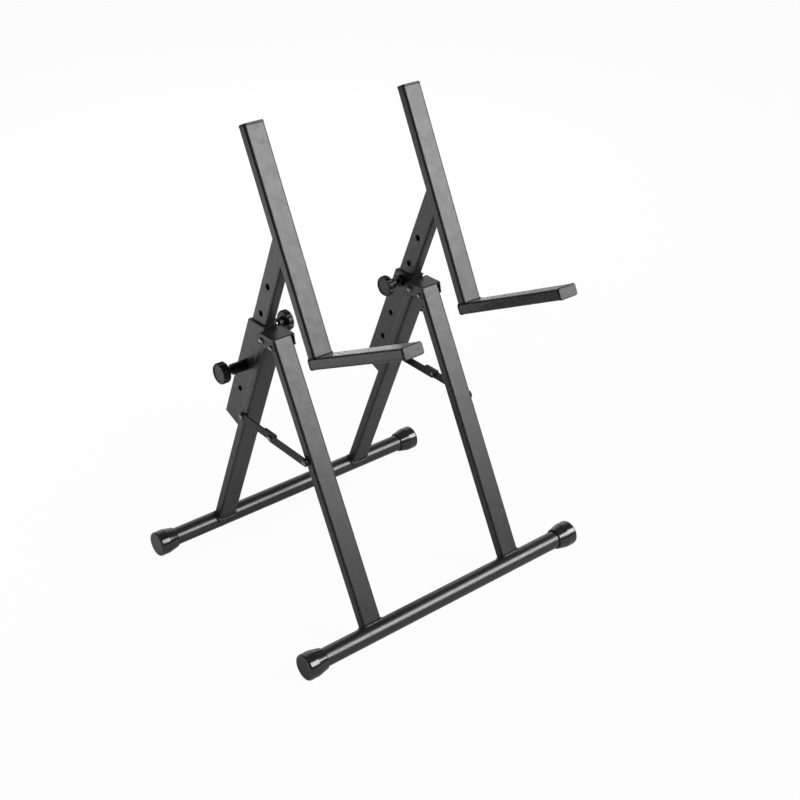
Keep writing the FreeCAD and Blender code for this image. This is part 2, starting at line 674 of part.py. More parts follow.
def hinge_bracket(name, side):
    """A saddle folded from sheet over the top of the front leg, with round lobes about the hinge."""
    body = new_body(f"{name}_hinge_bracket")
    outline = new_sketch(body, "YZ_Plane")
    draw_bracket_side(outline)
    pad(body, outline, "bracket_width", symmetric=True)
    inside = new_sketch(body, "XZ_Plane")
    draw_polygon(inside, [
        ("-bracket_inner", "-bracket_width"),
        ("bracket_inner", "-bracket_width"),
        ("bracket_inner", "plate_under"),
        ("-bracket_inner", "plate_under"),
    ])
    cut_through(body, inside)
    behind = new_sketch(body, "XY_Plane")
    draw_polygon(behind, [
        ("-bracket_inner", "plate_back"),
        ("bracket_inner", "plate_back"),
        ("bracket_inner", "bracket_width"),
        ("-bracket_inner", "bracket_width"),
    ])
    cut_through(body, behind)
    drill(body, [
        ("0", "0", "hinge_hole_radius", 0),
        ("bracket_rivet_y", "bracket_rivet_z", "bracket_rivet_hole_radius", 0),
    ])
    set_in(body, leg_plane(side), HINGE)


def through_rivet(label, prefix):
    """A long rivet across the leg, with a domed head at each end."""
    outer = [("reach", "shank"), ("reach", "head"), ("brow", "brow_radius"), ("end", "crown")]
    right = [(f"{prefix}_{along}", f"{prefix}_{radius}") for along, radius in outer]
    left = [("-" + along, radius) for along, radius in reversed(right)]
    ends = [(f"{prefix}_end", "0"), (f"-{prefix}_end", "0")]
    return turned_piece(label, right + ends + left)


def hinge_rivet(name, side):
    body = through_rivet(f"{name}_hinge_rivet", "hinge_rivet")
    set_in(body, leg_plane(side), HINGE)


def bracket_rivet(name, side):
    body = through_rivet(f"{name}_bracket_rivet", "bracket_rivet")
    set_in(body, leg_plane(side), HINGE, number("bracket_rivet_y"), number("bracket_rivet_z"))


def mast_sleeve(name, side):
    """A U-shaped channel of folded sheet, closed by the rear leg's back and cut level at the top."""
    body = new_body(f"{name}_mast_sleeve")
    section = new_sketch(body, "XY_Plane", "sleeve_low")
    draw_polygon(section, [
        ("-sleeve_outer", "rear_back"),
        ("-sleeve_inner", "rear_back"),
        ("-sleeve_inner", "sleeve_inside_back"),
        ("sleeve_inner", "sleeve_inside_back"),
        ("sleeve_inner", "rear_back"),
        ("sleeve_outer", "rear_back"),
        ("sleeve_outer", "sleeve_back"),
        ("-sleeve_outer", "sleeve_back"),
    ])
    pad(body, section, "sleeve_length")
    level = new_sketch(body, "YZ_Plane")
    draw_polygon(level, [
        ("rear_back", "sleeve_top_front"),
        ("sleeve_back", "sleeve_top_back"),
        ("sleeve_back", "sleeve_top_front"),
    ])
    cut_through(body, level)
    drill(body, [
        ("mast_mid", "lock_up", "hole_radius", 0),
        ("mast_mid", "spare_hole_up", "hole_radius", 0),
        ("mast_mid", "clamp_up", "clamp_hole_radius", -side),
    ])
    set_in(body, leg_plane(side), REAR)


def lower_guide(name, side):
    """The plastic guide pressed into the sleeve's lower end, with a rim below it."""
    body = new_body(f"{name}_lower_guide")
    plug = new_sketch(body, "XY_Plane", "guide_low_end")
    draw_polygon(plug, [
        ("-sleeve_inner", "rear_back"),
        ("sleeve_inner", "rear_back"),
        ("sleeve_inner", "sleeve_inside_back"),
        ("-sleeve_inner", "sleeve_inside_back"),
    ])
    pad(body, plug, "guide_low_length")
    rim = new_sketch(body, "XY_Plane", "guide_low_end")
    draw_polygon(rim, [
        ("-sleeve_outer", "rear_back"),
        ("sleeve_outer", "rear_back"),
        ("sleeve_outer", "sleeve_back"),
        ("-sleeve_outer", "sleeve_back"),
    ])
    pad(body, rim, "guide_rim")
    way = new_sketch(body, "XY_Plane")
    sides = ("-guide_inner_side", "guide_inner_side", "guide_inner_front", "guide_inner_back")
    draw_rounded_box(way, *sides, "tube_corner")
    cut_through(body, way)
    set_in(body, leg_plane(side), REAR)


def leaning_box(label, half_width, front, back, side):
    """A long box that follows the sleeve, for shaping the level upper guide."""
    box = doc.addObject("Part::Box", label)
    box.setExpression("Length", f"2 * {cell(half_width)}")
    box.setExpression("Width", f"{cell(back)} - {cell(front)}")
    box.setExpression("Height", f"2 * {cell('hinge_up')}")
    set_in(box, leg_plane(side) - number(half_width), REAR, number(front))
    return box


def level_slab(label, low, high, side):
    """A level slab right across the sleeve between two heights above the hinge."""
    slab = doc.addObject("Part::Box", label)
    slab.setExpression("Length", cell("leg_spacing"))
    slab.setExpression("Width", cell("base_spread"))
    slab.setExpression("Height", f"{cell(high)} - {cell(low)}")
    start = leg_plane(side) - number("leg_spacing") / 2
    set_in(slab, start, HINGE, -number("base_spread") / 2, number(low))
    return slab


def combine(kind, label, base, tool):
    feature = doc.addObject(kind, label)
    feature.Label = label
    feature.Base = base
    feature.Tool = tool
    return feature


def upper_guide(name, side):
    """The plastic guide in the sleeve's level top, with a rim on the sleeve's edge."""
    label = f"{name}_upper_guide"
    plug = combine(
        "Part::Common",
        f"{label}_plug",
        leaning_box(f"{label}_plug_box", "sleeve_inner", "rear_back", "sleeve_inside_back", side),
        level_slab(f"{label}_plug_slab", "guide_root", "guide_seat", side),
    )
    rim = combine(
        "Part::Common",
        f"{label}_rim",
        leaning_box(f"{label}_rim_box", "sleeve_outer", "rear_back", "sleeve_back", side),
        level_slab(f"{label}_rim_slab", "guide_seat", "guide_top", side),
    )
    whole = combine("Part::Fuse", f"{label}_whole", plug, rim)
    way = leaning_box(f"{label}_way", "guide_inner_side", "guide_inner_front", "guide_inner_back", side)
    loose_parts.append(combine("Part::Cut", label, whole, way))
    doc.recompute()


def mast(name, side):
    """The sliding mast: the same tube turned on edge, with a row of lock holes and a mitred top."""
    body = new_body(f"{name}_mast")
    section = new_sketch(body, "XY_Plane", "mast_low")
    tube_section(
        section,
        ("-half_depth", "half_depth", "mast_front", "mast_back"),
        ("-bore_half_depth", "bore_half_depth", "mast_bore_front", "mast_bore_back"),
    )
    pad(body, section, "mast_length")
    mitre = new_sketch(body, "YZ_Plane")
    draw_polygon(mitre, [
        ("mast_front", "mast_top_front"),
        ("mast_back", "mast_top_back"),
        ("mast_front", "mast_top_back"),
    ])
    cut_through(body, mitre)
    holes = new_sketch(body, "YZ_Plane")
    for index in range(MAST_HOLES):
        draw_circle(holes, "mast_mid", f"mast_hole_{index}", "hole_radius")
    cut_through(body, holes)
    set_in(body, leg_plane(side), REAR)


def upright(name, side):
    body = new_body(f"{name}_upright")
    section = new_sketch(body, "XY_Plane")
    tube_section(
        section,
        ("-half_width", "half_width", "-tube_depth", "0"),
        ("-bore_half_width", "bore_half_width", "-bore_far", "-tube_wall"),
    )
    pad(body, section, "upright_length")
    set_in(body, leg_plane(side), REST)


def support_arm(name, side):
    """The arm under the upright's foot, square to it and flush with its back."""
    body = new_body(f"{name}_support_arm")
    section = new_sketch(body, "XZ_Plane")
    tube_section(
        section,
        ("-half_width", "half_width", "-tube_depth", "0"),
        ("-bore_half_width", "bore_half_width", "-bore_far", "-tube_wall"),
    )
    pad(body, section, "arm_length")
    set_in(body, leg_plane(side), REST)


def end_plug(label, insert="plug_insert"):
    """A plastic plug for an open tube end: a bevelled flange on the end and a stub inside the tube."""
    body = new_body(label)
    flange = new_sketch(body, "XY_Plane")
    draw_rounded_box(flange, "-half_width", "half_width", "-half_depth", "half_depth", "tube_corner")
    cover = pad(body, flange, "plug_flange")
    rim = [
        f"Edge{index}" for index, edge in enumerate(cover.Shape.Edges, 1)
        if edge.BoundBox.ZMin > number("plug_flange") / 2
    ]
    bevel = body.newObject("PartDesign::Chamfer", f"{body.Name}_bevel")
    bevel.Base = (cover, rim)
    bevel.setExpression("Size", cell("plug_edge"))
    doc.recompute()
    stub = new_sketch(body, "XY_Plane")
    sides = ("-plug_half_width", "plug_half_width", "-plug_half_depth", "plug_half_depth")
    draw_rounded_box(stub, *sides, "bore_corner")
    pad(body, stub, insert, reverse=True)
    return body


def rest_plugs(name, side):
    """Plugs for the upright's top, both ends of the arm and the mast's lower end, clear of its last hole."""
    axis_x = FreeCAD.Vector(1, 0, 0)
    axis_z = FreeCAD.Vector(0, 0, 1)
    x = leg_plane(side)
    middle = -number("half_depth")
    set_in(end_plug(f"{name}_upright_plug"), x, REST, middle, number("upright_length"))
    set_in(end_plug(f"{name}_arm_front_plug"), x, REST, -number("arm_length"), middle, [(axis_x, 90)])
    set_in(end_plug(f"{name}_arm_rear_plug"), x, REST, 0, middle, [(axis_x, -90)])
    over = [(axis_x, 180), (axis_z, 90)]
    shallow = end_plug(f"{name}_mast_plug", "mast_plug_insert")
    set_in(shallow, x, REAR, number("mast_mid"), number("mast_low"), over)


def stay_rear_bar(name, side):
    """The rear bar of the folding stay, with the stop tab folded out over the front bar's top edge."""
    body = new_body(f"{name}_stay_rear_bar")
    inner = "stay_inner_x" if side > 0 else "-stay_inner_x"
    flat = new_sketch(body, "YZ_Plane", inner)
    draw_bar(flat, "stay_rear_length")
    pad(body, flat, "stay_sheet", reverse=side < 0)
    for low, reach in (("tab_root", "stay_sheet"), ("tab_under", "tab_reach")):
        tab = new_sketch(body, "YZ_Plane", inner)
        draw_polygon(tab, [
            ("-tab_ahead", low),
            ("-tab_behind", low),
            ("-tab_behind", "tab_top"),
            ("-tab_ahead", "tab_top"),
        ])
        pad(body, tab, reach, reverse=side < 0)
    drill(body, [
        ("0", "0", "stay_hole_radius", 0),
        ("-stay_rear_length", "0", "stay_hole_radius", 0),
    ])
    set_in(body, leg_plane(side), STAY_REAR)


def stay_front_bar(name, side):
    """The front bar of the folding stay, which laps over the outside of the rear bar."""
    body = new_body(f"{name}_stay_front_bar")
    flat = new_sketch(body, "YZ_Plane", "stay_lap_x" if side > 0 else "-stay_lap_x")
    draw_bar(flat, "stay_front_length")
    pad(body, flat, "stay_sheet", reverse=side < 0)
    drill(body, [
        ("0", "0", "stay_hole_radius", 0),
        ("-stay_front_length", "0", "stay_hole_radius", 0),
    ])
    set_in(body, leg_plane(side), STAY_MID)


def stay_rivet(label, side, foot, seat, frame, along=0.0):
    """A short rivet with one domed head, through the stay's bars; foot is its outline under the bars."""
    profile = foot + [
        (seat, "stay_shank"),
        (seat, f"{seat}_head"),
        (f"{seat}_brow", f"{seat}_brow_radius"),
        (f"{seat}_end", f"{seat}_crown"),
        (f"{seat}_end", "0"),
    ]
    body = turned_piece(label, facing(side, profile))
    set_in(body, leg_plane(side), frame, along)


def stay_rivets(name, side):
    """A rear rivet in the leg's wall, a middle one between the bars and a shouldered front one."""
    in_wall = [("stay_rivet_root", "0"), ("stay_rivet_root", "stay_shank")]
    stay_rivet(f"{name}_stay_rear_rivet", side, in_wall, "near_seat", STAY_REAR)
    in_bar = [("stay_inner_x", "0"), ("stay_inner_x", "stay_shank")]
    stay_rivet(f"{name}_stay_middle_rivet", side, in_bar, "lap_seat", STAY_MID)
    shoulder = [
        ("stay_inner_x", "0"),
        ("stay_inner_x", "stay_shoulder_radius"),
        ("stay_inner_face", "stay_shoulder_radius"),
        ("stay_inner_face", "stay_shank"),
    ]
    front = -number("stay_front_length")
    stay_rivet(f"{name}_stay_front_rivet", side, shoulder, "lap_seat", STAY_MID, front)


def ring(label, side, start, end, radius, bore):
    """A plain round collar along X."""
    profile = [(start, bore), (start, radius), (end, radius), (end, bore)]
    return turned_piece(label, facing(side, profile))


def rod(label, side, start, end, radius):
    """A plain round rod along X."""
    profile = [(start, "0"), (start, radius), (end, radius), (end, "0")]
    return turned_piece(label, facing(side, profile))


def knob(label, side, part):
    """A moulded knob: hub with a socket for its rod, and a dished disc with finger flutes round the rim."""
    profile = [
        ("hub_x", "socket_radius"),
        ("hub_x", "hub_radius"),
        ("disc_x", "hub_radius"),
        ("disc_x", "brow_radius"),
        ("disc_low", "disc_radius"),
        ("disc_high", "disc_radius"),
        ("face_x", "brow_radius"),
        ("face_x", "dish_radius"),
        ("dish_x", "dish_radius"),
        ("dish_x", "0"),
        ("rod_end", "0"),
        ("rod_end", "socket_radius"),
    ]
    named = []
    for along, radius in profile:
        named.append((f"{part}_{along}", radius if radius == "0" else f"{part}_{radius}"))
    body = turned_piece(label, facing(side, named))
    flutes = new_sketch(body, "YZ_Plane")
    for index in range(KNOB_FLUTES):
        draw_circle(flutes, f"{part}_flute_y{index}", f"{part}_flute_z{index}", "flute_radius")
    cut_through(body, flutes)
    return body


def lock(name, side):
    """The height lock on the outer side: a fixed barrel, and a pin with a knob that slides in it."""
    where = (number("mast_mid"), number("lock_up"))
    x = leg_plane(side)
    span = ("sleeve_outer", "lock_barrel_end")
    barrel = ring(f"{name}_lock_barrel", side, *span, "lock_barrel_radius", "lock_bore_radius")
    set_in(barrel, x, REAR, *where)
    set_in(rod(f"{name}_lock_pin", side, "rod_tip", "lock_rod_end", "lock_rod_radius"), x, REAR, *where)
    set_in(knob(f"{name}_lock_knob", side, "lock"), x, REAR, *where)


def clamp(name, side):
    """The clamp on the inner side: a fixed nut, and a bolt with a knob that turns in it."""
    where = (number("mast_mid"), number("clamp_up"))
    x = leg_plane(side)
    span = ("sleeve_outer", "clamp_nut_end")
    nut = ring(f"{name}_clamp_nut", -side, *span, "clamp_nut_radius", "clamp_hole_radius")
    set_in(nut, x, REAR, *where)
    set_in(rod(f"{name}_clamp_bolt", -side, "rod_tip", "clamp_rod_end", "clamp_rod_radius"), x, REAR, *where)
    set_in(knob(f"{name}_clamp_knob", -side, "clamp"), x, REAR, *where)


loose_parts = []
for label, frame in (("rear", REAR), ("front", FRONT)):
    base_tube(f"{label}_base_tube", frame)
    for name, side in SIDES.items():
        foot_cap(f"{name}_{label}_cap", side, frame)
for name, side in SIDES.items():
    rear_leg(name, side)
    front_leg(name, side)
    hinge_bracket(name, side)
    hinge_rivet(name, side)
    bracket_rivet(name, side)
    mast_sleeve(name, side)
    lower_guide(name, side)
    upper_guide(name, side)
    mast(name, side)
    upright(name, side)
    support_arm(name, side)
    rest_plugs(name, side)
    stay_rear_bar(name, side)
    stay_front_bar(name, side)
    stay_rivets(name, side)
    lock(name, side)
    clamp(name, side)
doc.recompute()

for item in doc.Objects:
    if "Invalid" in item.State or "Error" in item.State:
        raise RuntimeError(f"{item.Label} failed to build")
sub_parts = [item for item in doc.Objects if item.TypeId == "PartDesign::Body"] + loose_parts
for item in sub_parts:
    if item.Shape.isNull() or not item.Shape.isValid():
        raise RuntimeError(f"{item.Label} has no valid shape")
os.makedirs("parts", exist_ok=True)
for item in sub_parts:
    item.Shape.exportStep(f"parts/{item.Label}.step")
print(len(sub_parts), "sub-parts written")
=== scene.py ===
"""Looks for the folding amplifier stand: satin paint, moulded plastic, plated metal and weld beads."""
import json
import math

import bmesh
import bpy
from mathutils import Matrix, Vector


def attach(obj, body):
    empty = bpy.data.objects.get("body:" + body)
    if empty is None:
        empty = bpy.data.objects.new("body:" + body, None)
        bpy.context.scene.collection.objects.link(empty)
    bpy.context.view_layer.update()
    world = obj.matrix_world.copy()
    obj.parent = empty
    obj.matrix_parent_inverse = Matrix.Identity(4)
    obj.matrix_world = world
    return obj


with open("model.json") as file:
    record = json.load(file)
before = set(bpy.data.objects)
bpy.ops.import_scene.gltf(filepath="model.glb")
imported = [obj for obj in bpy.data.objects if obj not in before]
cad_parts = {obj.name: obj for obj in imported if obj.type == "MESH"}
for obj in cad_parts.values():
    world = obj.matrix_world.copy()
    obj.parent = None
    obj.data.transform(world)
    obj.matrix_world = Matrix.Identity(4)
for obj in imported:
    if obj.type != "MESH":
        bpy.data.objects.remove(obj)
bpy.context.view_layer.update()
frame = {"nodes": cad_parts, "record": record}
nodes = frame["nodes"]
scene = bpy.context.scene
scene.view_settings.view_transform = "Standard"

# The photograph's viewpoint, in degrees, metres and millimetres of lens
CAMERA_AZIMUTH = -39.79
CAMERA_ELEVATION = 29.08
CAMERA_DISTANCE = 2.0432
CAMERA_TARGET = Vector((0.0692, 0.0316, 0.2250))
CAMERA_LENS = 64.72

# The stand's tubes, in metres
LEG_PLANE = 0.1257
BASE_RADIUS = 0.0127
HALF_WIDTH = 0.0150
HALF_DEPTH = 0.0075
TUBE_CORNER = 0.0031
UPRIGHT_LENGTH = 0.2966
ARM_LENGTH = 0.2010
SIDES = {"left": -1, "right": 1}

# The leaning frames that the tubes stand in: y and z of the foot in metres, lean in degrees
REAR_FOOT = (0.21125, 0.01825, 22.75)
FRONT_FOOT = (-0.14875, 0.01825, -27.10)
REST_FOOT = (-0.03984, 0.38788, -25.60)

# Places across and up those frames, in metres, and the slope of the mast's slanted top
REAR_LEG_MID = -0.0021
FRONT_LEG_MID = 0.0040
FRONT_LEG_TOP = 0.4107
MAST_MID = 0.0216
MAST_TOP = 0.5360
MAST_TOP_SLOPE = 0.8894
SLEEVE_SIDE = 0.0102
LOCK_UP = 0.3186
CLAMP_UP = 0.3830
BARREL_RADIUS = 0.0075
NUT_RADIUS = 0.0080


def place_camera():
    """A camera at the photograph's angle."""
    azimuth = math.radians(CAMERA_AZIMUTH)
    elevation = math.radians(CAMERA_ELEVATION)
    level = math.cos(elevation)
    back = Vector((math.sin(azimuth) * level, -math.cos(azimuth) * level, math.sin(elevation)))
    data = bpy.data.cameras.new("camera")
    data.lens = CAMERA_LENS
    camera = bpy.data.objects.new("camera", data)
    camera.location = CAMERA_TARGET + back * CAMERA_DISTANCE
    camera.rotation_euler = (-back).to_track_quat("-Z", "Y").to_euler()
    scene.collection.objects.link(camera)
    scene.camera = camera


# Node trees
def larger(tree, first, second):
    """The larger of two values."""
    node = tree.nodes.new("ShaderNodeMath")
    node.operation = "MAXIMUM"
    tree.links.new(first, node.inputs[0])
    tree.links.new(second, node.inputs[1])
    return node.outputs["Value"]


def share(tree, value, part):
    """A fixed part of a value."""
    node = tree.nodes.new("ShaderNodeMath")
    node.operation = "MULTIPLY"
    tree.links.new(value, node.inputs[0])
    node.inputs[1].default_value = part
    return node.outputs["Value"]


def mixed(tree, fraction, plain, shown):
    """One shader where the fraction is 0 and another where it is 1."""
    node = tree.nodes.new("ShaderNodeMixShader")
    tree.links.new(fraction, node.inputs["Fac"])
    tree.links.new(plain, node.inputs[1])
    tree.links.new(shown, node.inputs[2])
    return node.outputs["Shader"]


# The part of a noise's range that finishes use
NOISE_LOW = 0.3
NOISE_HIGH = 0.7

# How far edges look rounded, in metres
FINE_EDGE = 0.0006
TUBE_EDGE = 0.0020
# FOLD_EDGE also sets how far the painted shade reaches from a sheet's folds and edges
FOLD_EDGE = 0.0024
RIVET_EDGE = 0.0025
BEVEL_SAMPLES = 6

# How well normals match where an edge's or an end face's mask starts and is full
EDGE_START = 0.99
EDGE_FULL = 0.90
END_START = 0.90
END_FULL = 0.98


class Nodes:
    """A small helper for building a material's node tree."""

    def __init__(self, name):
        self.material = bpy.data.materials.new(name)
        self.material.use_nodes = True
        self.tree = self.material.node_tree
        self.shader = self.tree.nodes["Principled BSDF"]

    def add(self, kind, **settings):
        node = self.tree.nodes.new(kind)
        for key, value in settings.items():
            if key in node.inputs:
                node.inputs[key].default_value = value
            else:
                setattr(node, key, value)
        return node

    def link(self, source, target):
        self.tree.links.new(source, target)

    def noise(self, scale=1.0, detail=2.0, roughness=0.5, stretch=None):
        """Noise in the object's own coordinates, in features per metre."""
        place = self.add("ShaderNodeTexCoord")
        texture = self.add("ShaderNodeTexNoise", Scale=scale, Detail=detail, Roughness=roughness)
        source = place.outputs["Object"]
        if stretch:
            mapping = self.add("ShaderNodeMapping")
            mapping.inputs["Scale"].default_value = stretch
            self.link(source, mapping.inputs["Vector"])
            source = mapping.outputs["Vector"]
        self.link(source, texture.inputs["Vector"])
        return texture.outputs["Fac"]

    def spread(self, value, low, high, start=NOISE_LOW, end=NOISE_HIGH):
        """Map a value onto a range."""
        ramp = self.add("ShaderNodeMapRange")
        ramp.inputs["From Min"].default_value = start
        ramp.inputs["From Max"].default_value = end
        ramp.inputs["To Min"].default_value = low
        ramp.inputs["To Max"].default_value = high
        self.link(value, ramp.inputs["Value"])
        return ramp.outputs["Result"]

    def tint(self, value, tones, part=None, painted_shading_colour=None):
        """Map a noise onto a dark and a light colour, and the masked part of the surface onto a third colour,
        which the finishes use for painted shade and painted light.
        """
        ramp = self.add("ShaderNodeValToRGB")
        for element, position, tone in zip(ramp.color_ramp.elements, (NOISE_LOW, NOISE_HIGH), tones):
            element.position = position
            element.color = (*tone, 1)
        self.link(value, ramp.inputs["Fac"])
        colour = ramp.outputs["Color"]
        # The third colour is painted shading: shade on the feet and the bracket's folds, light on the knobs'
        # faces
        if part:
            blend = self.add("ShaderNodeMix", data_type="RGBA")
            blend.inputs["B"].default_value = (*painted_shading_colour, 1)
            self.link(part, blend.inputs["Factor"])
            self.link(colour, blend.inputs["A"])
            colour = blend.outputs["Result"]
        self.link(colour, self.shader.inputs["Base Color"])

    def roughen(self, value):
        self.link(value, self.shader.inputs["Roughness"])

    def edges(self, width):
        """How near a point is to a sharp edge, from 0 to 1."""
        rounded = self.add("ShaderNodeBevel", Radius=width, samples=BEVEL_SAMPLES)
        flat = self.add("ShaderNodeNewGeometry")
        match = self.add("ShaderNodeVectorMath", operation="DOT_PRODUCT")
        self.link(rounded.outputs["Normal"], match.inputs[0])
        self.link(flat.outputs["True Normal"], match.inputs[1])
        return self.spread(match.outputs["Value"], 0.0, 1.0, EDGE_START, EDGE_FULL)

    def ends(self):
        """The faces square to the stand's width, from 0 to 1."""
        place = self.add("ShaderNodeTexCoord")
        axes = self.add("ShaderNodeSeparateXYZ")
        self.link(place.outputs["Normal"], axes.inputs["Vector"])
        size = self.add("ShaderNodeMath", operation="ABSOLUTE")
        self.link(axes.outputs["X"], size.inputs[0])
        return self.spread(size.outputs["Value"], 0.0, 1.0, END_START, END_FULL)

    def bump(self, height, strength, depth, edge=FINE_EDGE):
        """A raised grain over edges that catch light as if rounded."""
        node = self.add("ShaderNodeBump", Strength=strength, Distance=depth)
        self.link(height, node.inputs["Height"])
        rounded = self.add("ShaderNodeBevel", Radius=edge, samples=BEVEL_SAMPLES)
        self.link(rounded.outputs["Normal"], node.inputs["Normal"])
        self.link(node.outputs["Normal"], self.shader.inputs["Normal"])


# Finishes
BLOTCHES = {"scale": 60.0, "detail": 4.0, "roughness": 0.7}
SHEEN_PATCHES = {"scale": 90.0, "detail": 3.0, "roughness": 0.6}
GRAIN = {"detail": 3.0, "roughness": 0.6}
SCORED_TONE = {"detail": 3.0, "roughness": 0.7, "stretch": (70.0, 520.0, 520.0)}
SCORED_SHEEN = {"detail": 2.0, "roughness": 0.6, "stretch": (90.0, 700.0, 700.0)}
SCORED_RELIEF = {"detail": 2.0, "roughness": 0.6, "stretch": (60.0, 620.0, 620.0)}
METAL_TONE = {"scale": 260.0, "detail": 3.0}
METAL_SHEEN = {"scale": 900.0, "detail": 2.0}
TURNING_MARKS = {"scale": 1800.0, "detail": 2.0}


def coating(name, tones, rough, grain, strength, depth=0.0001, edge=FINE_EDGE, gloss=0.5, face=None):
    """A coating or moulded surface: blotchy tone, uneven gloss, fine grain and, if given, another colour on
    its end faces, painted as the light and shade that those faces catch.
    """
    made = Nodes(name)
    made.tint(made.noise(**BLOTCHES), tones, made.ends() if face else None, face)
    made.roughen(made.spread(made.noise(**SHEEN_PATCHES), *rough))
    made.shader.inputs["Specular IOR Level"].default_value = gloss
    made.bump(made.noise(grain, **GRAIN), strength, depth, edge)
    return made.material


def folded(name, tones, rough, grain, strength, depth, fold_shade_colour):
    """Painted sheet, dull along its folds and cut edges, where painted shade turns its colour near black."""
    made = Nodes(name)
    # Painted shade: near the folds and cut edges the colour turns near black, as if shaded there
    near = made.edges(FOLD_EDGE)
    made.tint(made.noise(**BLOTCHES), tones, near, fold_shade_colour)
    sheen = made.spread(made.noise(**SHEEN_PATCHES), *rough)
    made.roughen(larger(made.tree, sheen, near))
    made.bump(made.noise(grain, **GRAIN), strength, depth)
    return made.material


def streaked(name, tones, rough, strength, depth):
    """A plug's moulded face, scored across its width."""
    made = Nodes(name)
    made.tint(made.noise(**SCORED_TONE), tones)
    made.roughen(made.spread(made.noise(**SCORED_SHEEN), *rough))
    made.bump(made.noise(**SCORED_RELIEF), strength, depth)
    return made.material


def plated(name, tones, rough, edge=FINE_EDGE):
    """Plated metal with fine turning marks."""
    made = Nodes(name)
    made.tint(made.noise(**METAL_TONE), tones)
    made.shader.inputs["Metallic"].default_value = 1.0
    made.roughen(made.spread(made.noise(**METAL_SHEEN), *rough))
    made.bump(made.noise(**TURNING_MARKS), strength=0.15, depth=0.00005, edge=edge)
    return made.material


PAINT_TONES = ((0.011, 0.011, 0.0114), (0.018, 0.018, 0.0185))
BLACK_TONES = ((0.003, 0.003, 0.003), (0.006, 0.006, 0.006))
STAY_TONES = ((0.004, 0.004, 0.004), (0.007, 0.007, 0.0072))
FOOT_TONES = ((0.010, 0.010, 0.0103), (0.017, 0.017, 0.0175))
PLUG_TONES = ((0.006, 0.006, 0.0063), (0.026, 0.026, 0.0267))
GUIDE_TONES = ((0.005, 0.005, 0.005), (0.009, 0.009, 0.009))
KNOB_TONES = ((0.003, 0.003, 0.0031), (0.006, 0.006, 0.0062))
RIVET_TONES = ((0.20, 0.20, 0.20), (0.28, 0.28, 0.28))
ZINC_TONES = ((0.50, 0.50, 0.49), (0.70, 0.70, 0.68))
# The dark fold colour is painted shade along the bracket's folds and cut edges
FOLD_PAINTED_SHADE = (0.002, 0.002, 0.002)
# Painted shade: the feet's end faces are painted darker, standing in for the shaded floor they reflect
FOOT_FACE_PAINTED_SHADE = (0.004, 0.004, 0.0041)
# Painted light: the knobs' end faces are painted lighter, standing in for the floor they reflect
KNOB_FACE_PAINTED_LIGHT = (0.024, 0.024, 0.0247)

PAINT = coating("satin_paint", PAINT_TONES, rough=(0.33, 0.40), grain=320.0, strength=0.30, depth=0.0002,
                edge=TUBE_EDGE)
TUBE_PAINT = coating("tube_paint", PAINT_TONES, rough=(0.27, 0.33), grain=900.0, strength=0.06, gloss=0.62)
ARM_PAINT = coating("arm_paint", PAINT_TONES, rough=(0.25, 0.31), grain=900.0, strength=0.04,
                    edge=TUBE_EDGE)
BENT_PAINT = folded("bracket_paint", PAINT_TONES, rough=(0.33, 0.40), grain=320.0, strength=0.30,
                    depth=0.0002, fold_shade_colour=FOLD_PAINTED_SHADE)
# Black steel also colours the painted shade of the arms' welds and of the lines under the brackets
BLACK = coating("black_steel", BLACK_TONES, rough=(0.40, 0.50), grain=900.0, strength=0.15, gloss=0.25)
STAY = coating("stay_steel", STAY_TONES, rough=(0.34, 0.42), grain=900.0, strength=0.12, gloss=0.25)
# The feet's end faces are painted darker, as painted shade of the floor they reflect
FOOT = coating("foot_plastic", FOOT_TONES, rough=(0.11, 0.16), grain=900.0, strength=0.02, gloss=0.7,
               face=FOOT_FACE_PAINTED_SHADE)
# The knobs' end faces are painted lighter, as painted light from the floor they reflect
KNOB = coating("knob_plastic", KNOB_TONES, rough=(0.34, 0.42), grain=1800.0, strength=0.12, gloss=0.3,
               face=KNOB_FACE_PAINTED_LIGHT)
# The guide plastic also colours the rings of painted shade round the plugs
GUIDE = coating("guide_plastic", GUIDE_TONES, rough=(0.42, 0.52), grain=1600.0, strength=0.12)
PLUG = streaked("plug_plastic", PLUG_TONES, rough=(0.34, 0.52), strength=0.35, depth=0.0003)
RIVET = plated("rivet_steel", RIVET_TONES, rough=(0.09, 0.14), edge=RIVET_EDGE)
ZINC = plated("zinc", ZINC_TONES, rough=(0.24, 0.38))

# The finish of each material slot, and of the pieces that differ from their slot
SLOT_FINISHES = {
    "frame_paint": PAINT,
    "foot_plastic": FOOT,
    "plug_plastic": PLUG,
    "guide_plastic": GUIDE,
    "knob_plastic": KNOB,
    "rivets": RIVET,
    "zinc": ZINC,
}
PIECE_FINISHES = {
    "base_tube": TUBE_PAINT,
    "hinge_bracket": BENT_PAINT,
    "lock_barrel": BLACK,
    "clamp_nut": BLACK,
    "support_arm": ARM_PAINT,
    "clamp_bolt": RIVET,
    "stay_rear_bar": STAY,
    "stay_front_bar": STAY,
}


def dress_nodes():
    """Give each node its finish; a node's name is its side and then its piece."""
    for part in frame["record"]["subparts"]:
        piece = part["node"].split("_", 1)[1]
        mesh = nodes[part["node"]].data
        mesh.materials.clear()
        mesh.materials.append(PIECE_FINISHES.get(piece, SLOT_FINISHES[part["material_slot"]]))


# Beads: how they are drawn, and the radius of each kind in metres
BEAD_STEP = 0.0006
BEAD_LEAST_STEPS = 12
BEAD_SIDES = 10
CORNER_STEPS = 8
BOSS_STEPS = 48
RIPPLE_STEPS = 4
SWELL_SIZE = 0.3
SWELL_TURN = 0.37
WELD_RIPPLE = 0.24
FOOT_BEAD = 0.0029
MAST_BEAD = 0.0015
ARM_BEAD = 0.0012
BOSS_BEAD = 0.0011
